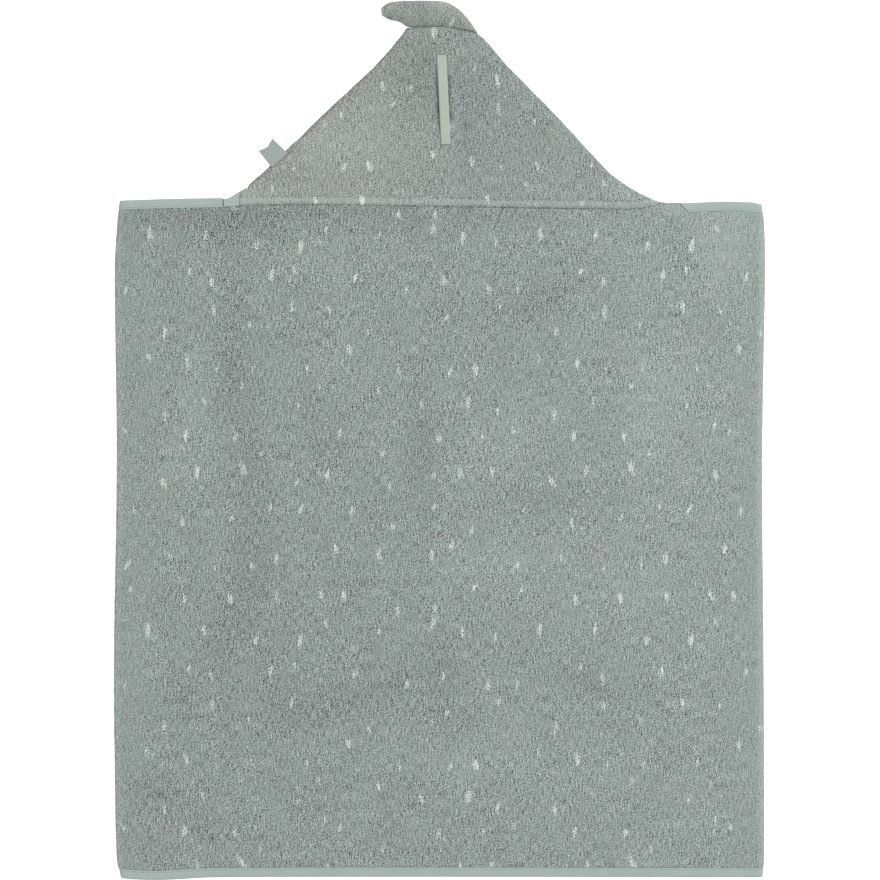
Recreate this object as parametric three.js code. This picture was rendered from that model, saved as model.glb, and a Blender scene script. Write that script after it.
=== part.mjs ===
// Baby bath cape of terry cloth, laid flat on its front so that its back and hood face up.
// One wide body panel has both ends folded under it, so they meet below the middle of the back.
// A two-layer hood is sewn to the middle of its top edge. It ends in a padded crest, and it
// carries a hanging loop and a side label. Woven tape binds the body and the face opening.
// Millimetres. +X is the wearer's right, +Y runs from the hem to the hood, +Z is up.
import * as THREE from "three";

// ---- Driving dimensions ----
const TERRY = 3; // thickness of the terry cloth
const PRESSED = 0.8; // thickness of the terry where it is sewn into a binding or a seam
const TAPE = 0.8; // thickness of the binding tape, the hanging loop and the label
const GAP = 0.3; // clearance between sewn pieces
const LAYER_GAP = 0.8; // air between the lower and the upper layer of cloth
const TAPE_WIDTH = 10; // how far a binding reaches in over the cloth
const SWELL = 3.7; // the cloth regains its thickness over this width beside a binding

const HALF_WIDTH = 336; // middle of the back to a side fold
const FRONT_SLIT = 3; // between the two front edges, where they meet under the back
const LOFT = 0.7; // how much the back stands up from the fronts, away from its edges
const FOLD_PUFF = 1.8; // how much more it stands up beside the side folds
const FOLD_REACH = 45; // width of that rise
const LEAST_RISE = -0.45; // the back never dips lower than this
const LOWER_INSET = 1.5; // the fronts' hem and top edge lie this much inside the back's

const BAND_HEIGHT = 2.2; // thickness of the hood's edge where it laps over the body
const BAND_END = 1.2; // the same at its right end
const NECK_SLOPE = 13; // past the body's edge, the hood comes down over this distance
const RIM = 3.2; // width of the rounded edge along the hood's side seams
const EDGE_SHARE = 0.35; // how much of its thickness the cloth keeps at such an edge
const FACE_HALF = 195; // half the width of the face opening
const FACE_Y = 250.5; // where the face opening ends at its two corners
const FACE_RISE = 8; // how far its middle lies above those corners
const TAPE_START = 247.3; // the right top binding starts here, slanted, clear of the hood
const TAPE_SLANT = 0.93; // and this much further right for each millimetre in from the edge

const COLOURS = { terry: "#97a29e", tape: "#aebbb6", loop: "#b3bcab", label: "#a8b3ad" };

// ---- Edges of the body ----
const HEM = [
  { x: -336, y: -455 },
  { x: -300, y: -457 },
  { x: -230, y: -454 },
  { x: 336, y: -454 },
];
const TOP_EDGE = [
  { x: -336, y: 248 },
  { x: -270, y: 250 },
  { x: -110, y: 251.5 },
  { x: 160, y: 248.5 },
  { x: 250, y: 245.5 },
  { x: 305, y: 247 },
  { x: 336, y: 244 },
];
// How far each side fold lies outside or inside HALF_WIDTH.
const SIDE_FOLDS = [
  { y: -455, left: -5, right: -1 },
  { y: -435, left: -1, right: 0 },
  { y: -350, left: 1, right: 0 },
  { y: -230, left: 2, right: -0.5 },
  { y: -20, left: -1, right: -2 },
  { y: 175, left: 1, right: 1 },
  { y: 225, left: -1.5, right: 0 },
  { y: 248, left: -4, right: -3 },
];

// ---- Soft folds: where the middle lies, its turn in degrees from +X, and how far it rises ----
const BACK_FOLDS = [
  { x: -213, y: 115, length: 260, width: 34, turn: 88, rise: -0.8 },
  { x: -195, y: -100, length: 240, width: 40, turn: 95, rise: -0.8 },
  { x: -232, y: -215, length: 150, width: 36, turn: 62, rise: -0.7 },
  { x: -120, y: -5, length: 100, width: 30, turn: 112, rise: -0.6 },
  { x: 97, y: -64, length: 105, width: 24, turn: 1, rise: -0.8 },
  { x: -85, y: -268, length: 180, width: 36, turn: 18, rise: -0.9 },
  { x: -1, y: -232, length: 70, width: 28, turn: 92, rise: -0.7 },
  { x: 150, y: -252, length: 95, width: 28, turn: -22, rise: -0.8 },
  { x: 55, y: 134, length: 150, width: 32, turn: 8, rise: -0.5 },
  { x: -290, y: -372, length: 90, width: 34, turn: 150, rise: -0.8 },
  { x: 294, y: 198, length: 90, width: 52, turn: 80, rise: 1.1 },
  { x: 222, y: 28, length: 150, width: 70, turn: 96, rise: 0.9 },
  { x: 82, y: 10, length: 120, width: 60, turn: 30, rise: 0.6 },
  { x: 75, y: -128, length: 150, width: 54, turn: 4, rise: 0.8 },
  { x: -258, y: 20, length: 170, width: 46, turn: 86, rise: 0.8 },
  { x: -150, y: 180, length: 120, width: 50, turn: 20, rise: 0.5 },
  { x: 60, y: -340, length: 190, width: 60, turn: -6, rise: 0.7 },
];
const HOOD_FOLDS = [
  { x: -25, y: 380, length: 60, width: 26, turn: 72, rise: -0.9 },
  { x: 24, y: 322, length: 150, width: 13, turn: 87, rise: -1.0 },
  { x: 37, y: 318, length: 140, width: 18, turn: 87, rise: 0.7 },
  { x: -92, y: 318, length: 100, width: 52, turn: 45, rise: 1.3 },
  { x: -63, y: 352, length: 60, width: 14, turn: 2, rise: -0.6 },
  { x: 104, y: 300, length: 120, width: 34, turn: -47, rise: -0.6 },
  { x: -150, y: 268, length: 50, width: 22, turn: 60, rise: -0.7 },
  { x: 150, y: 262, length: 90, width: 26, turn: -20, rise: 0.7 },
];

// ---- Hood outline ----
// The seam to the body, the seam to the crest, and the two sides from the one to the other.
const NECK_SEAM = [
  { x: -225, y: 241 },
  { x: -205, y: 242.5 },
  { x: -110, y: 243 },
  { x: 160, y: 239 },
  { x: 205, y: 239 },
  { x: 225, y: 243.5 },
  { x: 233.5, y: 246 },
];
const CREST_SEAM = [
  { x: -34.5, y: 427 },
  { x: -10, y: 427.5 },
  { x: 16, y: 425 },
  { x: 38.5, y: 421.5 },
];
const HOOD_SIDES = [
  { up: 0, leftX: -206, leftY: 242.5, rightX: 233.5, rightY: 246 },
  { up: 0.09, leftX: -203.5, leftY: 258, rightX: 216, rightY: 251.5 },
  { up: 0.16, leftX: -188.5, leftY: 268, rightX: 199, rightY: 260 },
  { up: 0.25, leftX: -174, leftY: 281, rightX: 177, rightY: 276 },
  { up: 0.55, leftX: -117, leftY: 336, rightX: 121, rightY: 335 },
  { up: 0.82, leftX: -65.5, leftY: 386, rightX: 71, rightY: 387 },
  { up: 0.96, leftX: -40, leftY: 416.5, rightX: 45.5, rightY: 415.5 },
  { up: 1, leftX: -34.5, leftY: 427, rightX: 38.5, rightY: 421.5 },
];
// The front layer of the hood, under the back one. It shows past it on the left.
const UNDER_SIDES = [
  { y: 250.5, left: -195, right: 195 },
  { y: 262.5, left: -199, right: 193 },
  { y: 280, left: -180, right: 171.5 },
  { y: 340, left: -117.5, right: 116 },
  { y: 390, left: -66, right: 68.5 },
  { y: 410, left: -48, right: 50 },
  { y: 427.5, left: -35, right: 34 },
];

// ---- Crest: its two long edges from the right end to the tip, and its height between them ----
const CREST = [
  { along: 0, lowX: 38, lowY: 422, highX: 38.5, highY: 422.5, height: 4 },
  { along: 0.08, lowX: 33, lowY: 423, highX: 35, highY: 427.5, height: 7.5 },
  { along: 0.2, lowX: 24, lowY: 424.5, highX: 29, highY: 437, height: 10.5 },
  { along: 0.32, lowX: 12, lowY: 426.5, highX: 19, highY: 447, height: 12.5 },
  { along: 0.45, lowX: -3, lowY: 428, highX: 5.5, highY: 454, height: 14 },
  { along: 0.58, lowX: -18, lowY: 428, highX: -14, highY: 456, height: 14 },
  { along: 0.7, lowX: -32.5, lowY: 428, highX: -31, highY: 456, height: 12.5 },
  { along: 0.82, lowX: -42.5, lowY: 433.5, highX: -43, highY: 455, height: 11 },
  { along: 0.92, lowX: -53, lowY: 436, highX: -53.5, highY: 453, height: 9.5 },
  { along: 1, lowX: -61, lowY: 440.5, highX: -61.5, highY: 446, height: 5 },
];

// ---- Hanging loop, label, and the end of the face opening's tape ----
const LOOP = { topX: 1.7, topY: 399, bottomX: 6.2, bottomY: 305.6, width: 9.6, bow: 1.8 };
const LABEL = {
  rootX: -166.5, // middle of the end that is caught in the seam
  rootY: 290,
  out: 132.5, // direction away from the hood, in degrees from +X
  length: 22,
  rootWidth: 22.4,
  tipWidth: 19.2,
  notch: 3.6, // depth of its swallowtail
  lift: 1.2, // how far its end curls up
};
const TAPE_END = [
  { x: -224.5, y: 249 },
  { x: -218, y: 251 },
  { x: -212, y: 255 },
  { x: -207, y: 258 },
];

// ---- Small helpers ----
const { clamp, lerp, smoothstep, degToRad } = THREE.MathUtils;

// A smooth curve through a table: the value in column `to` where column `from` is `at`.
function follow(table, from, to, at) {
  const last = table.length - 1;
  if (at <= table[0][from]) return table[0][to];
  if (at >= table[last][from]) return table[last][to];
  const i = table.findIndex((row) => row[from] > at) - 1;
  const slope = (k) => {
    const [a, b] = [table[Math.max(k - 1, 0)], table[Math.min(k + 1, last)]];
    return (b[to] - a[to]) / (b[from] - a[from]);
  };
  const span = table[i + 1][from] - table[i][from];
  const t = (at - table[i][from]) / span;
  const bend = span * t * (1 - t) * (slope(i) * (1 - t) - slope(i + 1) * t);
  return lerp(table[i][to], table[i + 1][to], t * t * (3 - 2 * t)) + bend;
}

function evenly(from, to, steps) {
  return Array.from({ length: steps + 1 }, (_, i) => lerp(from, to, i / steps));
}

// Height of all the soft folds of a table at a point.
function foldsAt(table, x, y) {
  return table.reduce((sum, fold) => {
    const angle = degToRad(fold.turn);
    const along = (x - fold.x) * Math.cos(angle) + (y - fold.y) * Math.sin(angle);
    const across = (y - fold.y) * Math.cos(angle) - (x - fold.x) * Math.sin(angle);
    return sum + fold.rise * Math.exp(-((2 * along / fold.length) ** 2) - (2 * across / fold.width) ** 2);
  }, 0);
}

// How much is left of a rounded edge's height at a distance from it.
function rounding(distance, width) {
  const t = clamp(distance / width, 0, 1);
  return lerp(EDGE_SHARE, 1, Math.sqrt(1 - (1 - t) ** 2));
}

// ---- Solids ----
// Turns a closed set of triangles so that it faces out, and makes the geometry.
function closed(points, triangles) {
  const volume = triangles.reduce((sum, [a, b, c]) => {
    const cross = new THREE.Vector3().crossVectors(points[b], points[c]);
    return sum + points[a].dot(cross);
  }, 0);
  const out = volume > 0 ? triangles : triangles.map(([a, b, c]) => [a, c, b]);
  const geometry = new THREE.BufferGeometry().setFromPoints(points);
  geometry.setIndex(out.flat());
  geometry.computeVertexNormals();
  return geometry;
}

// A wall of cloth between two grids of points with the same rows and columns.
function wall(outer, inner) {
  const rows = outer.length;
  const columns = outer[0].length;
  const points = [...outer.flat(), ...inner.flat()];
  const at = (side, i, j) => side * rows * columns + i * columns + j;
  const triangles = [];
  const quad = (a, b, c, d) => triangles.push([a, b, c], [a, c, d]);
  for (let i = 0; i < rows - 1; i++) {
    for (let j = 0; j < columns - 1; j++) {
      quad(at(0, i, j), at(0, i, j + 1), at(0, i + 1, j + 1), at(0, i + 1, j));
      quad(at(1, i, j), at(1, i + 1, j), at(1, i + 1, j + 1), at(1, i, j + 1));
    }
  }
  const rim = [];
  for (let j = 0; j < columns - 1; j++) rim.push([0, j]);
  for (let i = 0; i < rows - 1; i++) rim.push([i, columns - 1]);
  for (let j = columns - 1; j > 0; j--) rim.push([rows - 1, j]);
  for (let i = rows - 1; i > 0; i--) rim.push([i, 0]);
  rim.forEach(([i, j], k) => {
    const [m, n] = rim[(k + 1) % rim.length];
    quad(at(0, m, n), at(0, i, j), at(1, i, j), at(1, m, n));
  });
  return closed(points, triangles);
}

// A solid through closed rings of equal length, with flat ends.
function loft(rings) {
  const size = rings[0].length;
  const triangles = [];
  for (let i = 0; i < rings.length - 1; i++) {
    for (let k = 0; k < size; k++) {
      const [a, b] = [i * size + k, i * size + ((k + 1) % size)];
      triangles.push([a, b, b + size], [a, b + size, a + size]);
    }
  }
  const end = (rings.length - 1) * size;
  for (let k = 1; k < size - 1; k++) {
    triangles.push([0, k + 1, k], [end, end + k, end + k + 1]);
  }
  return closed(rings.flat(), triangles);
}

// ---- The folded body: where a spot of the cut panel lies ----
const MIDDLE_RADIUS = (TERRY + LAYER_GAP) / 2; // of the cloth's middle, round a flat side fold
const CLOTH_EDGE = TAPE + GAP; // the cloth ends this far inside its binding
const BOUND = TAPE_WIDTH + GAP; // the cloth is pressed as far as this
const FULL_CLOTH = TAPE_WIDTH + SWELL; // from here it has its full thickness
const FLAT_HALF = HALF_WIDTH - MIDDLE_RADIUS - TERRY / 2; // half the width between the side folds
const HOOD_END = HOOD_SIDES[0].rightX; // the right end of the neck seam
const BARE_EDGE = [HOOD_END + 0.8, HOOD_END + 4, TAPE_START - 2.5, TAPE_START - 0.5];

// 0 near the hem and the top edge, 1 well inside the panel.
function awayFromEdges(y) {
  const room = Math.min(y - HEM[0].y, TOP_EDGE[0].y - y);
  return smoothstep(room, FULL_CLOTH + 1, 60);
}

// Radius of a side fold, and the centre that it turns round.
function foldRadius(y) {
  return MIDDLE_RADIUS + (FOLD_PUFF / 2) * awayFromEdges(y);
}
function foldCentre(side, y) {
  const edge = HALF_WIDTH + follow(SIDE_FOLDS, "y", side < 0 ? "left" : "right", y);
  return edge - foldRadius(y) - TERRY / 2;
}

// How much the back stands up at a point, with the centre of its side fold at `foldX`.
function backRise(x, y, foldX) {
  const nearFold = 1 - smoothstep(foldX - Math.abs(x), 0, FOLD_REACH);
  const soft = (LOFT + foldsAt(BACK_FOLDS, x, y)) * (1 - nearFold);
  return Math.max(soft + FOLD_PUFF * nearFold, LEAST_RISE) * awayFromEdges(y);
}

// Between the hood and the right top binding, a stretch of the body's top edge is bare. There the
// cloth keeps its thickness out to a rounded edge. 1 on that stretch, 0 beside it.
function bareEdge(x) {
  const [from, full, still, to] = BARE_EDGE;
  return smoothstep(x, from, full) * (1 - smoothstep(x, still, to));
}

// Stations across the body. On a front, `inset` is the distance from its edge. Round a side
// fold, `turn` is 180 below and 0 on top. On the back, `share` is 1 at the fold, 0 in the middle.
function halfStations(side) {
  const fronts = [CLOTH_EDGE, BOUND, FULL_CLOTH, 90, 190, 280].map((inset) => ({ side, inset }));
  const round = evenly(180, 0, 6).map((turn) => ({ side, turn }));
  const extra = side > 0 ? BARE_EDGE.map((x) => x / FLAT_HALF) : [];
  const shares = [...evenly(1, 0, 16).slice(1), ...extra];
  const back = shares.sort((a, b) => b - a).map((share) => ({ side, share }));
  return [...fronts, ...round, ...back];
}
const STATIONS = [...halfStations(-1), ...halfStations(1).slice(0, -1).reverse()];

// Rows up the body, each a share of the way from the hem to the top edge, plus an inset.
const ROWS = [
  ...[CLOTH_EDGE, BOUND, FULL_CLOTH].map((inset) => ({ share: 0, inset })),
  ...evenly(0.05, 0.95, 24).map((share) => ({ share, inset: 0 })),
  ...[FULL_CLOTH, BOUND, CLOTH_EDGE].map((inset) => ({ share: 1, inset: -inset })),
];

// The place of a station and row, `out` from the middle of the cloth towards its outer face.
function onBody(station, row, out) {
  const { side } = station;
  const front = station.inset !== undefined;
  const flatX = front ? FRONT_SLIT / 2 + station.inset : (station.share ?? 1) * FLAT_HALF;
  const tuck = front ? LOWER_INSET * smoothstep(HALF_WIDTH - station.inset, 0, 200) : 0;
  const hem = follow(HEM, "x", "y", side * flatX) + tuck;
  const top = follow(TOP_EDGE, "x", "y", side * flatX) - tuck;
  const y = lerp(hem, top, row.share) + row.inset;
  if (front) return new THREE.Vector3(side * flatX, y, TERRY / 2 - out);

  const foldX = foldCentre(side, y);
  if (station.turn === undefined) {
    const x = side * station.share * foldX;
    const level = TERRY / 2 + 2 * MIDDLE_RADIUS + backRise(x, y, foldX);
    return new THREE.Vector3(x + (station.slant ?? 0) * Math.abs(row.inset), y, level + out);
  }
  const turn = degToRad(station.turn);
  const radius = foldRadius(y);
  const x = side * (foldX + (radius + out) * Math.sin(turn));
  return new THREE.Vector3(x, y, TERRY / 2 + radius + (radius + out) * Math.cos(turn));
}

function bodyPanel() {
  const face = (sign) =>
    ROWS.map((row) =>
      STATIONS.map((station) => {
        const depth = row.inset ? Math.abs(row.inset) : FULL_CLOTH;
        const pressed = Math.min(depth, station.inset ?? FULL_CLOTH) < FULL_CLOTH ? PRESSED : TERRY;
        const backX = (station.side ?? 0) * (station.share ?? 0) * FLAT_HALF;
        const bare = row.share === 1 ? bareEdge(backX) : 0;
        const kept = depth === CLOTH_EDGE ? EDGE_SHARE * TERRY : TERRY;
        const place = { share: row.share, inset: depth === CLOTH_EDGE ? row.inset * (1 - bare) : row.inset };
        return onBody(station, place, (sign / 2) * lerp(pressed, kept, bare));
      }),
    );
  return wall(face(1), face(-1));
}

// ---- Bindings: tape folded round an edge ----
// Points across the folded tape: distance in from the edge, and out from the middle.
const TAPE_OUTSIDE = [
  { inset: TAPE_WIDTH, out: TERRY / 2 },
  { inset: 0.6, out: TERRY / 2 },
  { inset: 0, out: TERRY / 2 - 0.6 },
  { inset: 0, out: 0.6 - TERRY / 2 },
  { inset: 0.6, out: -TERRY / 2 },
  { inset: TAPE_WIDTH, out: -TERRY / 2 },
];
const TAPE_INSIDE = [
  { inset: TAPE_WIDTH, out: PRESSED / 2 + GAP },
  { inset: TAPE + 0.1, out: PRESSED / 2 + GAP },
  { inset: TAPE, out: PRESSED / 2 + GAP - 0.1 },
  { inset: TAPE, out: 0.1 - PRESSED / 2 - GAP },
  { inset: TAPE + 0.1, out: -PRESSED / 2 - GAP },
  { inset: TAPE_WIDTH, out: -PRESSED / 2 - GAP },
];

function binding(places, locate) {
  const face = (points) => places.map((place) => points.map((point) => locate(place, point)));
  return wall(face(TAPE_OUTSIDE), face(TAPE_INSIDE));
}

// The body's own stations, with the outermost moved to the very edge of the panel.
const EDGE_STATIONS = STATIONS.filter((s) => s.inset === undefined || s.inset > FULL_CLOTH);
const PANEL_ENDS = [-1, 1].map((side) => ({ side, inset: 0 }));

function hemBinding() {
  const places = [PANEL_ENDS[0], ...EDGE_STATIONS, PANEL_ENDS[1]];
  return binding(places, (station, { inset, out }) => onBody(station, { share: 0, inset }, out));
}

// Tape along the top edge, from beside the hood, round a side fold to a front edge.
function topBinding(side, startX, slant) {
  const start = { side, share: Math.abs(startX) / foldCentre(side, TOP_EDGE[0].y), slant };
  const clear = start.share + 0.045;
  const beyond = EDGE_STATIONS.filter((s) => s.side === side && !(s.share < clear));
  const outward = side < 0 ? beyond.reverse() : beyond;
  const places = [start, ...outward, PANEL_ENDS[side < 0 ? 0 : 1]];
  return binding(places, (station, { inset, out }) => onBody(station, { share: 1, inset: -inset }, out));
}

// Tape down one front edge, between the hem's tape and the top edge's tape.
function frontBinding(side) {
  const inner = evenly(0.1, 0.9, 6).map((share) => ({ share, inset: 0 }));
  const places = [{ share: 0, inset: BOUND }, ...inner, { share: 1, inset: -BOUND }];
  return binding(places, (row, { inset, out }) => onBody({ side, inset }, row, out));
}

// ---- Hood ----
const NECK_LEVEL = TERRY / 2 + 2 * MIDDLE_RADIUS + PRESSED / 2 + GAP; // just over the body's edge

// 1 over the body's top edge, falling to 0 past it.
function overBody(x, y) {
  return 1 - smoothstep(y - follow(TOP_EDGE, "x", "y", x), 1, NECK_SLOPE);
}

// Underside of the hood's back layer, `room` away from its side seams.
function hoodFloor(x, y, room) {
  const soft = Math.max(LAYER_GAP + LOFT + foldsAt(HOOD_FOLDS, x, y), GAP);
  const level = TERRY + lerp(GAP, soft, smoothstep(room, 0, 16));
  return lerp(level, NECK_LEVEL, overBody(x, y));
}

function hoodThickness(x, y, room) {
  const band = lerp(BAND_HEIGHT, BAND_END, smoothstep(x, 185, 235));
  const fromNeck = y - follow(NECK_SEAM, "x", "y", x);
  const fromCrest = follow(CREST_SEAM, "x", "y", x) - y;
  const kept = Math.min(rounding(Math.min(room, fromCrest), RIM), rounding(fromNeck, RIM));
  return lerp(TERRY, band, overBody(x, y)) * kept;
}

const HOOD_ACROSS = [0, 0.004, 0.012, 0.035, ...evenly(0.075, 0.925, 17), 0.965, 0.988, 0.996, 1];
const HOOD_UP = [0, 0.005, 0.014, 0.035, 0.055, 0.075, ...evenly(0.1, 0.94, 16), 0.975, 0.99, 1];

// A point of the hood's outline in plan, between its four edges, and its room to the side seams.
function onHood(u, v) {
  const side = (name) => follow(HOOD_SIDES, "up", name, v);
  const [leftX, rightX] = [side("leftX"), side("rightX")];
  const neckX = lerp(HOOD_SIDES[0].leftX, HOOD_SIDES[0].rightX, u);
  const crestX = lerp(CREST_SEAM[0].x, CREST_SEAM[3].x, u);
  const neckY = follow(NECK_SEAM, "x", "y", neckX);
  const crestY = follow(CREST_SEAM, "x", "y", crestX);
  const bow = (name, straight) => side(name) - straight;
  const [first, last] = [HOOD_SIDES[0], HOOD_SIDES[HOOD_SIDES.length - 1]];
  const bowLeft = bow("leftY", lerp(first.leftY, last.leftY, v));
  const bowRight = bow("rightY", lerp(first.rightY, last.rightY, v));
  const x = lerp(leftX, rightX, u);
  const y = lerp(neckY, crestY, v) + lerp(bowLeft, bowRight, u);
  return { x, y, room: 0.7 * Math.min(x - leftX, rightX - x) };
}

function hoodBack() {
  const face = (share) =>
    HOOD_UP.map((v) =>
      HOOD_ACROSS.map((u) => {
        const { x, y, room } = onHood(u, v);
        return new THREE.Vector3(x, y, hoodFloor(x, y, room) + share * hoodThickness(x, y, room));
      }),
    );
  return wall(face(1), face(0));
}

function faceEdge(x) {
  return FACE_Y + FACE_RISE * (1 - (x / FACE_HALF) ** 2);
}

function faceBinding() {
  return binding(evenly(-FACE_HALF, FACE_HALF, 20), (x, { inset, out }) =>
    new THREE.Vector3(x, faceEdge(x) + inset, TERRY / 2 + out),
  );
}

function hoodFront() {
  const across = [0, 0.006, 0.02, ...evenly(0.06, 0.94, 12), 0.98, 0.994, 1];
  const rows = [
    ...[CLOTH_EDGE, BOUND].map((inset) => ({ share: 0, inset, thickness: PRESSED })),
    ...[0, ...evenly(0.08, 0.92, 8), 0.97, 0.99, 1].map((share) =>
      ({ share, inset: FULL_CLOTH, thickness: TERRY })),
  ];
  const face = (sign) =>
    rows.map(({ share, inset, thickness }) =>
      across.map((u) => {
        const level = lerp(FACE_Y + inset, CREST_SEAM[1].y, share);
        const [left, right] = ["left", "right"].map((name) => follow(UNDER_SIDES, "y", name, level));
        const x = lerp(left, right, u);
        const crestY = follow(CREST_SEAM, "x", "y", lerp(CREST_SEAM[0].x, CREST_SEAM[3].x, u));
        const low = faceEdge(lerp(-FACE_HALF, FACE_HALF, u)) + inset;
        const y = lerp(low, crestY, share);
        const room = Math.min(0.7 * (x - left), 0.7 * (right - x), crestY - y);
        const kept = thickness * rounding(room, RIM);
        const bottom = thickness === TERRY ? 0 : (TERRY - PRESSED) / 2;
        return new THREE.Vector3(x, y, sign > 0 ? bottom + kept : bottom);
      }),
    );
  return wall(face(1), face(-1));
}

// The end of the face opening's tape, which shows beyond the hood's left corner.
function cornerTape() {
  const face = (share) =>
    evenly(0, 1, 4).map((v) =>
      evenly(0, 1, 6).map((u) => {
        const x = lerp(TAPE_END[0].x, TAPE_END[3].x, u);
        const y = lerp(follow(NECK_SEAM, "x", "y", x), follow(TAPE_END, "x", "y", x), v);
        return new THREE.Vector3(x, y, hoodFloor(x, y, 0) + share * TAPE);
      }),
    );
  return wall(face(1), face(0));
}

// ---- Crest: a padded fin, flat below where it lies on the surface ----
// Points round a section: share of the way across it, and share of its height.
const CREST_SECTION = [
  { across: 0.12, up: 0 },
  { across: 0.5, up: 0 },
  { across: 0.88, up: 0 },
  { across: 0.97, up: 0.07 },
  { across: 1, up: 0.22 },
  { across: 0.985, up: 0.45 },
  { across: 0.92, up: 0.68 },
  { across: 0.8, up: 0.86 },
  { across: 0.63, up: 0.97 },
  { across: 0.45, up: 1 },
  { across: 0.27, up: 0.94 },
  { across: 0.12, up: 0.79 },
  { across: 0.03, up: 0.57 },
  { across: 0, up: 0.32 },
  { across: 0.02, up: 0.1 },
];

function crest() {
  const stops = [0, 0.03, ...evenly(0.08, 0.92, 14), 0.96, 0.985, 1];
  return loft(
    stops.map((along) => {
      const at = (name) => follow(CREST, "along", name, along);
      return CREST_SECTION.map(({ across, up }) =>
        new THREE.Vector3(lerp(at("lowX"), at("highX"), across), lerp(at("lowY"), at("highY"), across), up * at("height")),
      );
    }),
  );
}

// ---- Hanging loop: a tape sewn flat to the hood at its ends, and free between them ----
function hangingLoop() {
  const lift = (v) => GAP + 0.1 + LOOP.bow * smoothstep(Math.min(v, 1 - v), 0.06, 0.4);
  const face = (share) =>
    evenly(0, 1, 14).map((v) =>
      [-0.5, 0, 0.5].map((side) => {
        const x = lerp(LOOP.bottomX, LOOP.topX, v) + side * LOOP.width;
        const y = lerp(LOOP.bottomY, LOOP.topY, v);
        const level = hoodFloor(x, y, Infinity) + hoodThickness(x, y, Infinity);
        return new THREE.Vector3(x, y, level + lift(v) + share * TAPE);
      }),
    );
  return wall(face(1), face(0));
}

// ---- Label: a ribbon with a swallowtail end, caught in the hood's left seam ----
function label() {
  const angle = degToRad(LABEL.out);
  const face = (share) =>
    evenly(0, 1, 6).map((v) =>
      evenly(-0.5, 0.5, 6).map((side) => {
        const length = LABEL.length - LABEL.notch * (1 - Math.abs(2 * side));
        const [along, across] = [v * length, side * lerp(LABEL.rootWidth, LABEL.tipWidth, v)];
        const x = LABEL.rootX + along * Math.cos(angle) - across * Math.sin(angle);
        const y = LABEL.rootY + along * Math.sin(angle) + across * Math.cos(angle);
        return new THREE.Vector3(x, y, TERRY + GAP + LABEL.lift * v * v + share * TAPE);
      }),
    );
  return wall(face(1), face(0));
}

// ---- The whole cape ----
const PIECES = [
  { name: "body", colour: COLOURS.terry, roughness: 0.95, shape: bodyPanel() },
  { name: "binding_hem", colour: COLOURS.tape, roughness: 0.8, shape: hemBinding() },
  { name: "binding_top_left", colour: COLOURS.tape, roughness: 0.8, shape: topBinding(-1, -226, 0) },
  { name: "binding_top_right", colour: COLOURS.tape, roughness: 0.8, shape: topBinding(1, TAPE_START, TAPE_SLANT) },
  { name: "binding_front_left", colour: COLOURS.tape, roughness: 0.8, shape: frontBinding(-1) },
  { name: "binding_front_right", colour: COLOURS.tape, roughness: 0.8, shape: frontBinding(1) },
  { name: "hood_back", colour: COLOURS.terry, roughness: 0.95, shape: hoodBack() },
  { name: "hood_front", colour: COLOURS.terry, roughness: 0.95, shape: hoodFront() },
  { name: "face_binding", colour: COLOURS.tape, roughness: 0.8, shape: faceBinding() },
  { name: "face_binding_end", colour: COLOURS.tape, roughness: 0.8, shape: cornerTape() },
  { name: "crest", colour: COLOURS.terry, roughness: 0.95, shape: crest() },
  { name: "hanging_loop", colour: COLOURS.loop, roughness: 0.8, shape: hangingLoop() },
  { name: "side_label", colour: COLOURS.label, roughness: 0.7, shape: label() },
];

const cape = new THREE.Group();
cape.name = "baby_bath_cape";
for (const { name, colour, roughness, shape } of PIECES) {
  const mesh = new THREE.Mesh(shape, new THREE.MeshStandardMaterial({ color: colour, roughness, metalness: 0 }));
  mesh.name = name;
  cape.add(mesh);
}

// The origin is at the middle of the box that holds the cape, on the surface it lies on.
const box = new THREE.Box3().setFromObject(cape, true);
const middle = box.getCenter(new THREE.Vector3());
for (const mesh of cape.children) mesh.geometry.translate(-middle.x, -middle.y, -box.min.z);

export default cape;
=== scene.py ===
"""Baby bath cape of terry cloth, laid flat on its front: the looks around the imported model.

Sizes inside the shape functions are millimetres in the drawing frame of the cape, with +X to the
wearer's right, +Y from the hem to the hood and +Z up. build_mesh() turns them into metres in the
row frame.
"""

import math
import random

import bpy
import numpy as np
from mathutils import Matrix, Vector


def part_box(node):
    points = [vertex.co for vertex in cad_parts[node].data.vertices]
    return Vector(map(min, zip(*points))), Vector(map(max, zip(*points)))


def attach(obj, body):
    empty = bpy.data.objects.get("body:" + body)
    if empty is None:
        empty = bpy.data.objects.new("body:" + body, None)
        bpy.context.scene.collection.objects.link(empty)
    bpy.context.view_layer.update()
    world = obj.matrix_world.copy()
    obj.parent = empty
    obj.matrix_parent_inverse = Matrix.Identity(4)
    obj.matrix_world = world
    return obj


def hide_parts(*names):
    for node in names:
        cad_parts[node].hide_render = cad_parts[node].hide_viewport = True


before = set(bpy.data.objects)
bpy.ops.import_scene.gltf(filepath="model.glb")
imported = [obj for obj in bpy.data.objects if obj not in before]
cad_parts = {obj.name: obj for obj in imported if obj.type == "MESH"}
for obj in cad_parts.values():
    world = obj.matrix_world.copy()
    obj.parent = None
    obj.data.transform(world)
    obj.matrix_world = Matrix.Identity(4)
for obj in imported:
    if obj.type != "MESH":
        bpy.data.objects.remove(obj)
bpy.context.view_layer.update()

# ---- Driving dimensions, as in the part ----
TERRY = 3.0  # thickness of the terry cloth
PRESSED = 0.8  # the same where it is sewn into a binding
TAPE = 0.8  # thickness of the tapes
GAP = 0.3  # clearance between sewn pieces
LAYER_GAP = 0.8  # air between the lower and the upper layer of cloth
TAPE_WIDTH = 10.0
SWELL = 3.7  # the cloth regains its thickness over this width beside a binding
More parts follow.
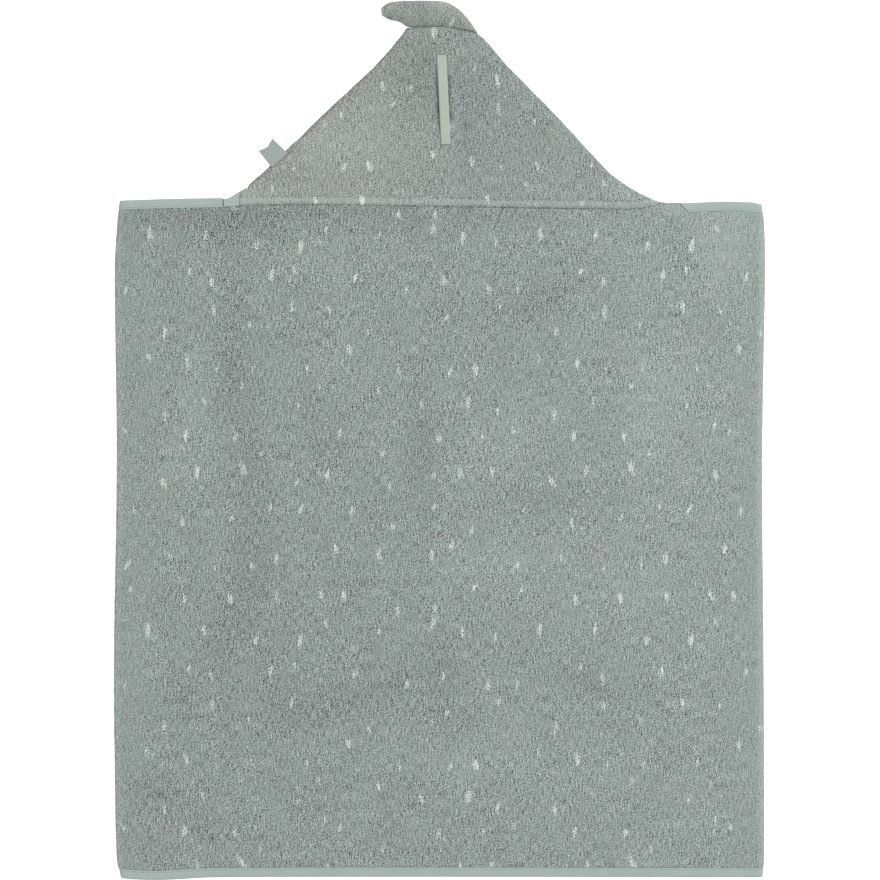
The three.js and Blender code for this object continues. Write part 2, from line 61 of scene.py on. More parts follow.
HALF_WIDTH = 336.0  # middle of the back to a side fold
FRONT_SLIT = 3.0  # between the two front edges
LOFT = 0.7  # how much the back stands up from the fronts
FOLD_PUFF = 1.8  # how much more it stands up beside the side folds
FOLD_REACH = 45.0  # width of that rise
LEAST_RISE = -0.45
EDGES_FLAT = 60.0  # folds and loft have their full height this far in from hem and top edge
LOWER_INSET = 1.5  # the fronts' hem and top edge lie this much inside the back's
TUCK_LENGTH = 200.0  # that inset grows over this length from a side fold
BAND_HEIGHT = 2.2  # thickness of the hood's edge over the body
BAND_END = 1.2  # the same at its right end
NECK_SLOPE = 13.0  # past the body's edge, the hood comes down over this distance
RIM = 3.2  # width of the rounded edge along the hood's side seams
EDGE_SHARE = 0.35  # how much of its thickness the cloth keeps at such an edge
SIDE_LEAN = 0.7  # distance square to a side of the hood, for each millimetre across it
FACE_HALF, FACE_Y = 195.0, 250.5  # corners of the face opening
FACE_RISE = 8.0  # how far its middle lies above them
TAPE_START = 247.3  # the right top binding starts here, slanted, clear of the hood
TAPE_SLANT = 0.93  # and this much further right for each millimetre in from the edge

# ---- Driving dimensions of the looks alone ----
FUZZ = 0.45  # the pile stands out this far past the side folds
LEFT_TAPE_START = 225.2  # the left top binding starts here, square, under the hood's corner
FRONT_BEND = 281.5  # from here outwards the fronts are drawn out to the side folds
HOOD_START = -206.0  # the hood covers the body's top edge from here
FINE_LOOPS, COARSE_LOOPS = 1.9, 3.1  # sizes of the unevenness of the pile
WELL_INSIDE = 99.0  # any distance from an edge that is past all its effects

MIDDLE_RADIUS = (TERRY + LAYER_GAP) / 2
BOUND = TAPE_WIDTH + GAP
FULL_CLOTH = TAPE_WIDTH + SWELL
FLAT_HALF = HALF_WIDTH - MIDDLE_RADIUS - TERRY / 2
NECK_LEVEL = TERRY / 2 + 2 * MIDDLE_RADIUS + PRESSED / 2 + GAP

# ---- Edges of the body: x, y ----
HEM = [(-336, -455), (-300, -457), (-230, -454), (336, -454)]
TOP_EDGE = [
    (-336, 248), (-270, 250), (-110, 251.5), (160, 248.5), (250, 245.5), (305, 247), (336, 244),
]
# Side folds: y, how far the left one and the right one lie outside HALF_WIDTH
SIDE_FOLDS = [
    (-455, -5, -1), (-435, -1, 0), (-350, 1, 0), (-230, 2, -0.5), (-20, -1, -2), (175, 1, 1),
    (225, -1.5, 0), (248, -4, -3),
]

# ---- Soft folds: x, y, length, width, turn in degrees from +X, rise ----
BACK_FOLDS = [
    (-213, 115, 260, 34, 88, -0.8), (-195, -100, 240, 40, 95, -0.8),
    (-232, -215, 150, 36, 62, -0.7), (-120, -5, 100, 30, 112, -0.6), (-190, -278, 130, 50, 0, -0.5),
    (-18, 5, 130, 26, 92, -0.9), (-300, -235, 70, 50, 90, 0.4), (200, -160, 120, 60, 0, 0.4),
    (112, 145, 60, 44, 0, -0.7), (-115, 78, 70, 60, 0, 0.5), (5, -292, 60, 60, 0, -0.5),
    (97, -64, 105, 24, 1, -0.8), (-85, -268, 180, 36, 18, -0.9), (-1, -232, 70, 28, 92, -0.7),
    (150, -252, 95, 28, -22, -0.8), (55, 134, 150, 32, 8, -0.5), (-290, -372, 90, 34, 150, -0.8),
    (294, 198, 90, 52, 80, 1.1), (222, 28, 150, 70, 96, 0.9), (82, 10, 120, 60, 30, 0.6),
    (75, -128, 150, 54, 4, 0.8), (-258, 20, 170, 46, 86, 0.8), (-150, 180, 120, 50, 20, 0.5),
    (60, -340, 190, 60, -6, 0.7),
]
HOOD_FOLDS = [
    (-25, 380, 60, 26, 72, -0.9), (24, 322, 150, 13, 87, -1.0), (37, 318, 140, 18, 87, 0.7),
    (-92, 318, 100, 52, 45, 1.3), (-63, 352, 60, 14, 2, -0.6), (104, 300, 120, 34, -47, -0.6),
    (-150, 268, 50, 22, 60, -0.7), (150, 262, 90, 26, -20, 0.7),
]

# ---- Hood outline ----
NECK_SEAM = [
    (-225, 241), (-205, 242.5), (-110, 243), (160, 239), (205, 239), (225, 243.5), (233.5, 246),
]
CREST_SEAM = [(-34.5, 427), (-10, 427.5), (16, 425), (38.5, 421.5)]
# Hood sides: share of the way up, then x and y on the left, x and y on the right
HOOD_SIDES = [
    (0, -208.5, 242.5, 233, 246), (0.045, -208.5, 250, 224.5, 247.5),
    (0.08, -206.5, 258, 216, 251.5), (0.115, -199, 262, 208.5, 255), (0.16, -190.5, 268, 199.5, 260),
    (0.25, -174.5, 281, 177, 276), (0.55, -118, 336, 122, 335), (0.82, -66.5, 386, 71, 387),
    (0.96, -40, 416.5, 46, 415.5), (1, -34.5, 427, 38.5, 421.5),
]
# Sides of the hood's front layer: y, x on the left, x on the right
UNDER_SIDES = [
    (250.5, -195, 195), (262.5, -200, 193), (280, -182, 171.5), (340, -119, 116), (390, -67, 68.5),
    (410, -48.5, 50), (427.5, -35, 34),
]
# Crest: share of the way along, x and y of its low edge, x and y of its high edge, height
CREST = [
    (0, 38, 422, 39, 423, 4), (0.08, 33, 423, 35.5, 428, 7.5), (0.2, 24, 424.5, 29, 437, 10.5),
    (0.32, 12, 426.5, 19, 447, 12.5), (0.45, -3, 428, 5.5, 454, 14), (0.58, -18, 428, -14, 455.5, 14),
    (0.7, -32.5, 428, -31, 455.5, 12.5), (0.82, -42.5, 433.5, -43, 455, 11),
    (0.92, -53, 436, -53.5, 453.5, 9.5), (1, -60.5, 440.5, -61, 448.5, 5.5),
]
TAPE_END = [(-224.5, 249), (-218, 251), (-212, 255), (-207, 258)]


# ---- Small helpers ----
def column(table, k):
    return np.array([row[k] for row in table], float)


def follow(table, at, to=1):
    """A smooth curve through column `to` of a table, over its first column."""
    xs, ys = column(table, 0), column(table, to)
    at = np.asarray(at, float)
    last = len(xs) - 1
    before = np.maximum(np.arange(last + 1) - 1, 0)
    after = np.minimum(np.arange(last + 1) + 1, last)
    slope = (ys[after] - ys[before]) / (xs[after] - xs[before])
    i = np.clip(np.searchsorted(xs, at, side="right") - 1, 0, last - 1)
    span = xs[i + 1] - xs[i]
    t = np.clip((at - xs[i]) / span, 0, 1)
    bend = span * t * (1 - t) * (slope[i] * (1 - t) - slope[i + 1] * t)
    return ys[i] + (ys[i + 1] - ys[i]) * t * t * (3 - 2 * t) + bend


def smoothstep(x, low, high):
    t = np.clip((np.asarray(x, float) - low) / (high - low), 0, 1)
    return t * t * (3 - 2 * t)


def lerp(a, b, t):
    return a + (b - a) * t


def folds_at(table, x, y):
    total = np.zeros(np.broadcast(x, y).shape)
    for fx, fy, length, width, turn, rise in table:
        angle = math.radians(turn)
        along = (x - fx) * math.cos(angle) + (y - fy) * math.sin(angle)
        across = (y - fy) * math.cos(angle) - (x - fx) * math.sin(angle)
        total += rise * np.exp(-((2 * along / length) ** 2) - (2 * across / width) ** 2)
    return total


def value_noise(x, y, size, seed):
    """Smooth noise from -1 to 1 with cells of `size` millimetres."""
    u, v = np.asarray(x, float) / size, np.asarray(y, float) / size
    i, j = np.floor(u), np.floor(v)
    fu, fv = u - i, v - j
    fu, fv = fu * fu * (3 - 2 * fu), fv * fv * (3 - 2 * fv)

    def corner(a, b):
        key = (a.astype(np.int64) * 374761393 + b.astype(np.int64) * 668265263 + seed * 982451653)
        key = (key ^ (key >> 13)) * 1274126177
        key = key ^ (key >> 16)
        return (key & 0xFFFF) / 32767.5 - 1

    low = lerp(corner(i, j), corner(i + 1, j), fu)
    high = lerp(corner(i, j + 1), corner(i + 1, j + 1), fu)
    return lerp(low, high, fv)


def rounding(distance, width):
    t = np.clip(distance / width, 0, 1)
    return lerp(EDGE_SHARE, 1, np.sqrt(1 - (1 - t) ** 2))


# The row frame's origin in the drawing: the face binding and a front binding give it
ORIGIN = np.array([
    -1000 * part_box("binding_front_left")[1][0] - FRONT_SLIT / 2,
    FACE_Y - 1000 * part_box("face_binding")[0][1],
    0,
])


def build_mesh(name, points, faces, material):
    """A mesh object from drawing points in millimetres."""
    mesh = bpy.data.meshes.new(name)
    placed = (np.asarray(points, float) - ORIGIN) / 1000
    placed[:, 2] = np.maximum(placed[:, 2], 0)
    mesh.from_pydata(placed.tolist(), [], faces)
    mesh.polygons.foreach_set("use_smooth", [True] * len(mesh.polygons))
    mesh.update()
    obj = bpy.data.objects.new(name, mesh)
    bpy.context.scene.collection.objects.link(obj)
    mesh.materials.append(material)
    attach(obj, "root")
    return obj


def attribute(obj, name, values, rest):
    """Store a value for the first points of a mesh; the others, on the wrong side, get `rest`."""
    layer = obj.data.attributes.new(name, "FLOAT", "POINT")
    full = np.full(len(obj.data.vertices), rest, np.float32)
    full[:np.size(values)] = np.ravel(values)
    layer.data.foreach_set("value", full)


def grid_faces(rows, columns, start=0, flip=False):
    i, j = np.meshgrid(np.arange(rows - 1), np.arange(columns - 1), indexing="ij")
    a = start + i * columns + j
    quads = np.stack([a, a + 1, a + columns + 1, a + columns], axis=-1).reshape(-1, 4)
    return (quads[:, ::-1] if flip else quads).tolist()


def shell(outer, inner, keep_rows, keep_columns):
    """A closed wall: a fine outer grid, and an inner one with only the kept rows and columns."""
    rows, columns = outer.shape[:2]
    thin = inner[np.ix_(keep_rows, keep_columns)]
    base = rows * columns
    points = np.concatenate([outer.reshape(-1, 3), thin.reshape(-1, 3)])
    faces = grid_faces(rows, columns) + grid_faces(len(keep_rows), len(keep_columns), base, True)

    def inside(i, j):
        return base + keep_rows.index(i) * len(keep_columns) + keep_columns.index(j)

    def rim(edge_outer, edge_inner, kept, flip):
        for low, high in zip(kept[:-1], kept[1:]):
            face = [edge_outer(k) for k in range(low, high + 1)] + [edge_inner(high), edge_inner(low)]
            faces.append(face[::-1] if flip else face)

    last_row, last_column = rows - 1, columns - 1
    rim(lambda k: k, lambda k: inside(0, k), keep_columns, True)
    rim(lambda k: last_row * columns + k, lambda k: inside(last_row, k), keep_columns, False)
    rim(lambda k: k * columns, lambda k: inside(k, 0), keep_rows, False)
    rim(lambda k: k * columns + last_column, lambda k: inside(k, last_column), keep_rows, True)
    return points, faces


def tube_faces(rings, size, base=0):
    """Faces of a closed tube of `rings` rings with `size` points each, its two ends included."""
    faces = []
    for i in range(rings - 1):
        for k in range(size):
            a, b = base + i * size + k, base + i * size + (k + 1) % size
            faces.append([a, b, b + size, a + size])
    faces.append([base + k for k in range(size)][::-1])
    faces.append([base + (rings - 1) * size + k for k in range(size)])
    return faces


def every(count, step):
    kept = list(range(0, count, step))
    return kept if kept[-1] == count - 1 else kept + [count - 1]


# ---- Materials ----
def socket(node, name):
    return next(s for s in node.inputs if s.name == name and s.enabled)


class Nodes:
    """Short calls for the nodes of one material."""

    def __init__(self, name):
        self.material = bpy.data.materials.new(name)
        self.material.use_nodes = True
        self.tree = self.material.node_tree
        self.shader = self.tree.nodes["Principled BSDF"]

    def add(self, kind, inputs=None, **settings):
        node = self.tree.nodes.new(kind)
        for key, value in settings.items():
            setattr(node, key, value)
        for key, value in (inputs or {}).items():
            target = node.inputs[key] if isinstance(key, int) else socket(node, key)
            self.feed(target, value)
        return node

    def feed(self, target, value):
        if isinstance(value, bpy.types.NodeSocket):
            self.tree.links.new(value, target)
        else:
            target.default_value = value

    def math(self, operation, a, b):
        return self.add("ShaderNodeMath", {0: a, 1: b}, operation=operation).outputs[0]

    def ramp(self, value, low, high, to_low=0.0, to_high=1.0):
        inputs = {"Value": value, "From Min": low, "From Max": high, "To Min": to_low, "To Max": to_high}
        return self.add("ShaderNodeMapRange", inputs, interpolation_type="SMOOTHSTEP").outputs[0]

    def mix(self, factor, a, b, blend="MIX"):
        node = self.add("ShaderNodeMix", data_type="RGBA", blend_type=blend)
        self.feed(node.inputs[0], factor)
        self.feed(node.inputs[6], a)
        self.feed(node.inputs[7], b)
        return node.outputs[2]

    def noise(self, vector, scale, detail, roughness=0.5):
        inputs = {"Vector": vector, "Scale": scale, "Detail": detail, "Roughness": roughness}
        return self.add("ShaderNodeTexNoise", inputs).outputs["Fac"]

    def value_of(self, attribute_name):
        return self.add("ShaderNodeAttribute", attribute_name=attribute_name).outputs["Fac"]

    def multiplied(self, colour, shade):
        grey = self.add("ShaderNodeCombineColor", {0: shade, 1: shade, 2: shade}).outputs[0]
        return self.mix(1.0, colour, grey, blend="MULTIPLY")

    def flat_place(self):
        """X and Y, gently stirred. Z leans into both, so that upright faces have a pattern too."""
        place = self.add("ShaderNodeSeparateXYZ", {0: self.add("ShaderNodeTexCoord").outputs["Object"]})
        x = self.math("ADD", place.outputs[0], self.math("MULTIPLY", place.outputs[2], -0.55))
        y = self.math("ADD", place.outputs[1], self.math("MULTIPLY", place.outputs[2], -0.5))
        at = self.add("ShaderNodeCombineXYZ", {0: x, 1: y}).outputs[0]
        inputs = {"Vector": at, "Scale": 170.0, "Detail": 1.0}
        stir = self.add("ShaderNodeTexNoise", inputs, noise_dimensions="2D").outputs["Color"]
        inputs = {0: stir, 1: (0.0016, 0.0016, 0.0), 2: at}
        return self.add("ShaderNodeVectorMath", inputs, operation="MULTIPLY_ADD").outputs[0]

    def flat_noise(self, at, scale, up, turn, detail=0.0):
        """Noise over a flat place, turned by `turn` and then `up` times as fine along Y."""
        turned = self.add("ShaderNodeMapping", {"Vector": at, "Scale": (1, 1 / up, 1)}, vector_type="TEXTURE")
        turned.inputs["Rotation"].default_value = (0, 0, turn)
        inputs = {"Vector": turned.outputs[0], "Scale": scale, "Detail": detail, "Roughness": 0.9}
        return self.add("ShaderNodeTexNoise", inputs, noise_dimensions="2D").outputs["Fac"]

    def coordinates(self, scale=(1, 1, 1)):
        place = self.add("ShaderNodeTexCoord").outputs["Object"]
        return self.add("ShaderNodeMapping", {"Vector": place, "Scale": scale}).outputs[0]

    def surface(self, colour, roughness, bump, distance, strength):
        self.feed(self.shader.inputs["Base Color"], colour)
        self.feed(self.shader.inputs["Roughness"], roughness)
        self.shader.inputs["Specular IOR Level"].default_value = 0.15
        node = self.add("ShaderNodeBump", {"Height": bump, "Distance": distance, "Strength": strength})
        self.feed(self.shader.inputs["Normal"], node.outputs[0])
        return self.material


def srgb(r, g, b):
    def linear(c):
        c /= 255
        return c / 12.92 if c <= 0.04045 else ((c + 0.055) / 1.055) ** 2.4

    return (linear(r), linear(g), linear(b), 1.0)


def terry_material():
    n = Nodes("terry")
    place = n.coordinates()
    # loops of the pile: fine grain, and over it worms running up and down
    at = n.flat_place()
    grain = n.flat_noise(at, 860, up=0.8, turn=0.5)
    worms = n.flat_noise(at, 800, up=0.13, turn=0.03, detail=1.0)
    patches = n.noise(n.coordinates(scale=(1, 0.5, 1)), 42, detail=1)
    height = n.math("ADD", n.math("MULTIPLY", grain, 0.55), n.math("MULTIPLY", worms, 0.49))
    # here and there a warmer patch
    hue = n.ramp(n.noise(place, 34, detail=3, roughness=0.55), 0.57, 0.66)
    cloth = n.mix(hue, srgb(130.9, 140.4, 137.3), srgb(134, 139.9, 136.9))
    cloth = n.mix(n.value_of("warm"), cloth, srgb(137, 142, 138.4))
    # short pale dashes in the pile
    frayed = n.math("MULTIPLY", n.math("SUBTRACT", height, 0.5), 1.55)
    ragged = n.math("ADD", n.value_of("dash"), frayed)
    mark = n.ramp(ragged, -0.35, 0.42)
    cloth = n.mix(mark, cloth, srgb(173, 181, 176.5))
    height = n.math("SUBTRACT", height, 0.02)
    level = n.math("ADD", height, n.math("MULTIPLY", n.math("SUBTRACT", patches, 0.5), 0.06))
    # painted light and shade, one value for each point: the colour gets lighter where light falls on a raised
    # place and darker where shade falls; where it is lightest the pile also shows less contrast
    painted_shading = n.value_of("painted_shading")
    flatter_in_light = n.math("MULTIPLY", n.math("MAXIMUM", n.math("SUBTRACT", painted_shading, 0.3), 0.0), -3.0)
    evenness = n.ramp(n.noise(place, 38, detail=2), 0.3, 0.7, 2.6, 3.85)
    contrast = n.math("MULTIPLY", n.math("ADD", evenness, flatter_in_light), n.ramp(mark, 0.0, 1.0, 1.0, 0.8))
    # calm: softer pile, with less contrast and no change of brightness
    contrast = n.math("MULTIPLY", contrast, n.math("SUBTRACT", 1.0, n.value_of("calm")))
    # painted shade of the pile itself: the colour is darker in its low places and lighter on its high ones;
    # then the per-point painted light and shade is added
    shade = n.math("MULTIPLY", n.math("SUBTRACT", level, 0.5), contrast)
    shade = n.math("ADD", shade, n.math("ADD", 1.0, n.math("MULTIPLY", painted_shading, 0.3)))
    colour = n.multiplied(cloth, n.math("MAXIMUM", shade, 0.08))
    n.shader.inputs["Sheen Weight"].default_value = 0.1
    n.shader.inputs["Sheen Roughness"].default_value = 0.6
    rough = n.ramp(n.noise(place, 90, detail=2), 0.3, 0.7, 0.9, 1.0)
    return n.surface(colour, rough, height, distance=0.001, strength=0.6)


def tape_material(name, colour, edge, along_x=True):
    n = Nodes(name)
    place = n.coordinates()

    def bands(scale, distortion, direction):
        inputs = {"Vector": place, "Scale": scale, "Distortion": distortion, "Detail": 1.0}
        wave = n.add("ShaderNodeTexWave", inputs, wave_type="BANDS", bands_direction=direction)
        return wave.outputs["Fac"]

    ribs = bands(330.0, 0.4, "Y" if along_x else "X")
    cross = bands(260.0, 0.5, "X" if along_x else "Y")
    weave = n.math("ADD", n.math("MULTIPLY", ribs, 0.6), n.math("MULTIPLY", cross, 0.4))
    drift = n.ramp(n.noise(place, 45, detail=3), 0.35, 0.65)
    cloth = n.mix(drift, srgb(*colour), srgb(*edge))
    colour = n.multiplied(cloth, n.ramp(weave, 0.0, 1.0, 0.93, 1.04))
    n.shader.inputs["Sheen Weight"].default_value = 0.05
    rough = n.ramp(drift, 0.0, 1.0, 0.8, 0.9)
    return n.surface(colour, rough, weave, distance=0.00025, strength=0.7)


TERRY_CLOTH = terry_material()
TAPE_COLOURS = (155, 167, 162), (150.5, 164, 159.5)
BINDING_TAPE = tape_material("binding_tape", *TAPE_COLOURS)
FRONT_TAPE = tape_material("front_tape", *TAPE_COLOURS, along_x=False)
LOOP_THREAD = tape_material("loop_thread", (176, 184, 176), (182, 188, 182))
LOOP_TAPE = tape_material("loop_tape", (164.5, 173, 156), (160.5, 170, 160), along_x=False)
RIBBON = tape_material("ribbon", (147, 156.5, 152.5), (143, 153, 149.5), along_x=False)
THREAD = tape_material("thread", (146, 160, 154), (152, 166, 160))


# ---- Dashes in the pile ----
# Pale loops are scattered over the cloth in a layout of its own, which repeats. Each piece is cut
# from another place in the cloth, so it starts elsewhere in the repeat.
DASH_COLUMNS, DASH_ROWS = 9, 10
DASH_APART, DASH_ABOVE = 45.0, 41.0
DASH_STRAY = 0.36  # of the way to the next one
DASH_LEAN = 14.0  # degrees, spread either way
DASH_SEED = 11
STRONGEST = 3
BODY_CUT, HOOD_CUT, CREST_CUT = (0, 0), (110, 200), (24, 236)
FAR_FROM_DASH = -5.0


def scatter_dashes():
    """One repeat: x, y, length, width, lean to the right in degrees, strength up to STRONGEST."""
    draw = random.Random(DASH_SEED)
    dashes = []
    for row in range(DASH_ROWS):
        for place in range(DASH_COLUMNS):
            x = (place + row % 2 / 2 + draw.uniform(-DASH_STRAY, DASH_STRAY)) * DASH_APART
            y = (row + draw.uniform(-DASH_STRAY, DASH_STRAY)) * DASH_ABOVE
            strength = draw.choice((1, 1, 2, 2, STRONGEST))
            length = draw.uniform(4.5, 8) + 1.4 * strength
            width = draw.uniform(2.8, 3.8) + 0.3 * strength
            dashes.append((x, y, length, width, draw.gauss(0, DASH_LEAN), strength))
    return dashes


DASHES = scatter_dashes()


def dash_field(cut, x, y):
    """How far inside a dash each spot lies: 1 in the middle, 0 at its edge, less in faint ones."""
    field = np.full(np.broadcast(x, y).shape, FAR_FROM_DASH)
    across_repeat, up_repeat = DASH_COLUMNS * DASH_APART, DASH_ROWS * DASH_ABOVE
    for dash_x, dash_y, length, width, lean, strength in DASHES:
        dx, dy = x + cut[0] - dash_x, y + cut[1] - dash_y
        dx, dy = dx - across_repeat * np.round(dx / across_repeat), dy - up_repeat * np.round(dy / up_repeat)
        turn = math.radians(lean)
        along = dy * math.cos(turn) + dx * math.sin(turn)
        across = dx * math.cos(turn) - dy * math.sin(turn)
        reach = np.hypot(1.6 * along / length, 1.7 * across / width)
        field = np.maximum(field, 1 - reach - (STRONGEST - strength) * 0.13)
    return field


# ---- The folded body ----
ARC = math.pi * MIDDLE_RADIUS


def away_from_edges(y):
    room = np.minimum(y - HEM[0][1], TOP_EDGE[0][1] - y)
    return smoothstep(room, FULL_CLOTH + 1, EDGES_FLAT)


def fold_radius(y):
    return MIDDLE_RADIUS + FOLD_PUFF / 2 * away_from_edges(y)


def fold_centre(side, y):
    offset = np.where(side < 0, follow(SIDE_FOLDS, y, 1), follow(SIDE_FOLDS, y, 2))
    return HALF_WIDTH + FUZZ + offset - fold_radius(y) - TERRY / 2


def back_rise(x, y, fold_x):
    near = 1 - smoothstep(fold_x - np.abs(x), 0, FOLD_REACH)
    soft = (LOFT + folds_at(BACK_FOLDS, x, y)) * (1 - near)
    return np.maximum(soft + FOLD_PUFF * near, LEAST_RISE) * away_from_edges(y)


def on_body(w, share, inset, out):
    """Where a spot of the cut panel lies. `w` is its distance across from the middle of the back,
    `share` and `inset` place it between hem and top edge, and `out` is its height over the middle
    of the cloth."""
    w, share, inset, out = np.broadcast_arrays(*(np.asarray(a, float) for a in (w, share, inset, out)))
    side = np.where(w < 0, -1.0, 1.0)
    run = np.abs(w)
    front = run > FLAT_HALF + ARC
    flat_x = np.where(front, 2 * FLAT_HALF + ARC - run, np.minimum(run, FLAT_HALF))
    from_fold = HALF_WIDTH + FRONT_SLIT / 2 - flat_x
    tuck = np.where(front, LOWER_INSET * smoothstep(from_fold, 0, TUCK_LENGTH), 0)
    hem = follow(HEM, side * flat_x) + tuck
    top = follow(TOP_EDGE, side * flat_x) - tuck
    y = lerp(hem, top, share) + inset
    radius, fold_x = fold_radius(y), fold_centre(side, y)

    back_x = flat_x / FLAT_HALF * fold_x
    level = TERRY / 2 + 2 * MIDDLE_RADIUS + back_rise(back_x, y, fold_x)
    turn = np.clip((run - FLAT_HALF) / ARC, 0, 1) * math.pi
    round_x = fold_x + (radius + out) * np.sin(turn)
    round_z = TERRY / 2 + radius + (radius + out) * np.cos(turn)
    past = np.clip((flat_x - FRONT_BEND) / (FLAT_HALF - FRONT_BEND), 0, 1)
    front_x = lerp(flat_x, fold_x, past)
    arc = (run > FLAT_HALF) & ~front
    x = side * np.where(front, front_x, np.where(arc, round_x, back_x))
    z = np.where(front, TERRY / 2 - out, np.where(arc, round_z, level + out))
    return np.stack([x, y, z], axis=-1)


PANEL_HALF = 2 * FLAT_HALF + ARC - FRONT_SLIT / 2  # from the middle of the back to a front edge


def unevenly(stops):
    """Numbers through `stops`, pairs of an end and the step up to it."""
    values = [stops[0][0]]
    for (start, _), (end, step) in zip(stops[:-1], stops[1:]):
        count = max(1, round(abs(end - start) / step))
        values += list(np.linspace(start, end, count + 1)[1:])
    return np.array(values)


def cloth_height(depth):
    """How high the pile stands over the middle of the cloth, `depth` in from a sewn edge."""
    return lerp(PRESSED / 2, TERRY / 2, smoothstep(depth, -0.7, 0.6))


def blob(x, y, at_x, at_y, width, height):
    return np.exp(-((x - at_x) / width) ** 2 - ((y - at_y) / height) ** 2)


# Painted light and shade on the soft folds, lighter where they catch light and darker where they lie in
# shade: x, y, width, height, how much lighter
HOOD_SHADES = [
    (-112, 312, 52, 34, 0.42), (192, 258, 44, 16, 0.4), (-26, 380, 26, 36, -0.5),
    (50, 345, 48, 60, -0.2), (-198, 252, 24, 9, 0.3),
]
CREST_SHADES = [
    (3, 449, 8, 6, 0.3), (-52, 441, 7, 5, 0.25), (-19, 447, 3.5, 16, -0.45), (-33, 451, 9, 5, -0.3),
]
# Ends of the line that has a shade on both sides, under the hanging loop: y, x
LOOP_SHADE = [(305.6, 6.2), (399, 1.7)]


def shades_at(table, x, y):
    return sum(lighter * blob(x, y, *place) for *place, lighter in table)


def on_fold(run):
    """1 on the rounded side folds, 0 on the flat back and fronts."""
    return smoothstep(run, FLAT_HALF - 5, FLAT_HALF + 1) * (run < FLAT_HALF + ARC)


def body_painted_shading(x, y, run, from_top, on_back):
    # Painted light and shade of the body: a painted highlight on the rounded side folds, more on the right
    # one; painted light on the crests of the soft folds and painted shade in their troughs; darker in a patch
    # at the top left and in a band below the left and middle of the hood; lighter at the corner beside the
    # hood's right end and towards the right side.
    fold_highlight = on_fold(run) * np.where(x > 0, 0.6, 0.42)
    corner = 0.5 * smoothstep(x, 225, 240) * (1 - smoothstep(from_top, 6, 16))
    share = x / HALF_WIDTH
    soft = 0.38 * folds_at(BACK_FOLDS, x, y) - 0.3 * blob(x, y, -205, 222, 80, 22)
    soft = soft + 0.11 * share + 0.14 * share ** 2 - 0.05
    under_hood = (1 - smoothstep(from_top, 10, 50)) * (1 - smoothstep(x, 80, 150))
    return fold_highlight + (corner + soft - 0.3 * under_hood) * on_back


def hood_painted_shading(x, y):
    # Painted light and shade of the hood: a painted highlight on the ridge of the neck seam, a painted shadow
    # in the groove above it, painted shadow on both sides of the hanging loop, painted shade in a crease, and
    # the painted light and shade of HOOD_SHADES; lighter low on the left, and a little darker overall.
    from_neck = y - follow(NECK_SEAM, x)
    ridge = 0.58 * (1 - smoothstep(from_neck, 6.5, 8.5)) * smoothstep(from_neck, 0, 1.2)
    groove = 0.3 * np.exp(-((from_neck - 8.4) / 0.8) ** 2)
    low, high = LOOP_SHADE
    loop_x = lerp(low[1], high[1], (y - low[0]) / (high[0] - low[0]))
    loop_shadow = np.exp(-((np.abs(x - loop_x) - 6.2) / 2.2) ** 2)
    loop_shadow = loop_shadow * smoothstep(y, 310, 345) * (1 - smoothstep(y, 370, 396))
    crease_shade = np.exp(-((x - lerp(27, 18, (y - 315) / 80)) / 4.5) ** 2)
    crease_shade = crease_shade * smoothstep(y, 300, 320) * (1 - smoothstep(y, 385, 405))
    low_left = (1 - smoothstep(from_neck, 10, 30)) * (1 - smoothstep(x, -60, 40))
    soft = shades_at(HOOD_SHADES, x, y) - 0.3 * crease_shade + 0.12 * low_left
    return ridge - groove - 0.8 * loop_shadow + soft - 0.13


def hood_warmth(x, y):
    low = 1 - smoothstep(y - follow(NECK_SEAM, x), 4, 14)
    return (0.2 + 0.8 * (1 - smoothstep(x, -80, 40))) * (1 - 0.5 * low)


def crest_painted_shading(x, y):
    # Painted light and shade of the crest: painted light along its seam, the painted light and shade of
    # CREST_SHADES, and a little darker overall.
    seam = 0.6 * (1 - smoothstep(y - follow(CREST_SEAM, x), 0, 7))
    return shades_at(CREST_SHADES, x, y) + seam - 0.2


def body_grid():
    """Columns and rows of the body's cloth in the cut panel: their w, share and inset."""
    edge = FLAT_HALF + ARC
    half = unevenly([
        (0, 0), (FLAT_HALF, 2.6), (edge, 0.6), (edge + 40, 8), (PANEL_HALF - FULL_CLOTH, 14),
        (PANEL_HALF - BOUND, 2), (PANEL_HALF - TAPE - GAP, 5),
    ])
    w = np.concatenate([-half[:0:-1], half])
    length = follow(TOP_EDGE, 0) - follow(HEM, 0)
    rows = unevenly([(TAPE + GAP, 0), (BOUND - 1, 3), (BOUND + 1.5, 0.6), (length / 2, 2.6)])
    share = np.concatenate([np.zeros(len(rows)), np.ones(len(rows) - 1)])
    inset = np.concatenate([rows, -rows[-2::-1]])
    # the rows between the bindings are spread evenly between hem and top edge
    spread = np.where(share == 0, inset, length + inset) / length
    share = np.where(np.abs(inset) > BOUND + 2, spread, share)
    inset = np.where((share > 0) & (share < 1), 0, inset)
    return w, share, inset


def body_depth(x, y, run, from_top, on_back):
    """How far in from the nearest seam or sewn edge a spot of the body's cloth lies."""
    from_hem = y - follow(HEM, np.clip(x, -HALF_WIDTH, HALF_WIDTH))
    # below the hood the cloth is thin from the seam up, and beside it from the binding up
    from_neck = follow(NECK_SEAM, x) - y
    close = lerp(-0.7, 0.1, smoothstep(x, -90, -60)) + 0.45 * value_noise(x, 0, 8, 51)
    under_hood = on_back & (x > HOOD_START) & (x < HOOD_SIDES[0][3])
    below_top = np.where(under_hood, from_neck - close, from_top - BOUND)
    return np.minimum(np.minimum(from_hem - BOUND, below_top), PANEL_HALF - run - BOUND)


